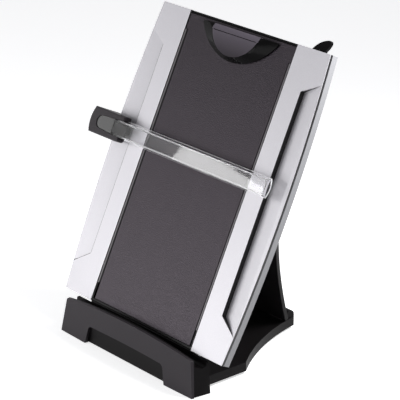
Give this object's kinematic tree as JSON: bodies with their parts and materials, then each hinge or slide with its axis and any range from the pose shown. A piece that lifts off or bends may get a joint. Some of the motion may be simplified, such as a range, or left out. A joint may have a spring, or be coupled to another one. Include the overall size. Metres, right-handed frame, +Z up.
{
  "type": "copy holder with line guide",
  "caption": "Desk easel that holds loose pages upright on a grained board, with a page clip on top, a ledge below, a sliding clear line-guide bar and a folding leg",
  "frame": {"origin": "on the desk, in the mid-plane of the panel, straight below the bottom edge of the panel's front face, on the flat underside of the ledge", "axes": "+X to the right for a reader in front of the panel, +Y to the rear, +Z up"},
  "size_m": [0.2845, 0.1825, 0.317],
  "materials": {
    "black_abs": "fine matt moulded black",
    "satin_black_abs": "satin moulded black",
    "frame_black_abs": "satin deep black",
    "grained_black_abs": "matt charcoal with a fine leather grain",
    "charcoal_abs": "satin charcoal",
    "grey_abs": "fine matt silver grey",
    "silver_paint": "satin pale silver paint",
    "clear_acrylic": "polished clear plastic",
    "pad_rubber": "soft matt black",
    "foot_rubber": "soft matt dark grey",
    "felt": "short black felt",
    "rod_steel": "bright drawn steel",
    "spring_steel": "bright spring wire",
    "screw_steel": "zinc plated"
  },
  "bodies": {
    "base": {"base_tray": "black_abs", "ledge_tray": "black_abs", "ledge_fascia": "charcoal_abs", "ledge_screws": "screw_steel", "rubber_feet": "foot_rubber", "panel_hinge_rods": "rod_steel", "leg_hinge_rod": "rod_steel"},
    "panel": {"rear_shell": "grey_abs", "core_frame": "frame_black_abs", "left_wing": "silver_paint", "right_wing": "silver_paint", "centre_board": "grained_black_abs", "left_board_rail": "frame_black_abs", "right_board_rail": "frame_black_abs", "shell_screws": "screw_steel", "rear_hook": "black_abs", "page_clip_mounts": "black_abs", "page_clip_pin": "rod_steel", "page_clip_spring": "spring_steel"},
    "leg": {"support_leg": "black_abs", "leg_tip_pads": "pad_rubber"},
    "clip": {"page_clip": "satin_black_abs", "page_clip_pad": "pad_rubber"},
    "guide": {"carrier_body": "satin_black_abs", "carrier_tongue": "black_abs", "carrier_jaw": "black_abs", "carrier_screws": "screw_steel", "carrier_pad": "felt", "guide_bar": "clear_acrylic"}
  },
  "joints": [
    {"name": "panel_fold", "type": "hinge", "parent": "base", "child": "panel", "pos_m": [0, 0.01214, 0.03024], "axis": [-1, 0, 0], "range_deg": [0, 64.2]},
    {"name": "leg_fold", "type": "hinge", "parent": "base", "child": "leg", "pos_m": [0, 0.1554, 0.0154], "axis": [-1, 0, 0], "range_deg": [0, 116.4]},
    {"name": "guide_slide", "type": "slide", "parent": "panel", "child": "guide", "axis": [0, 0.4352, 0.9003], "range_m": [-0.142, 0.086]},
    {"name": "page_clip_lift", "type": "hinge", "parent": "panel", "child": "clip", "pos_m": [0, 0.12574, 0.30476], "axis": [-1, 0, 0], "range_deg": [0, 18], "stiffness_Nm_per_rad": 0.03, "springref_deg": -22.92}
  ],
  "couplings": [
    {"joint": "leg_fold", "follows": "panel_fold", "ratio": 1.813}
  ]
}
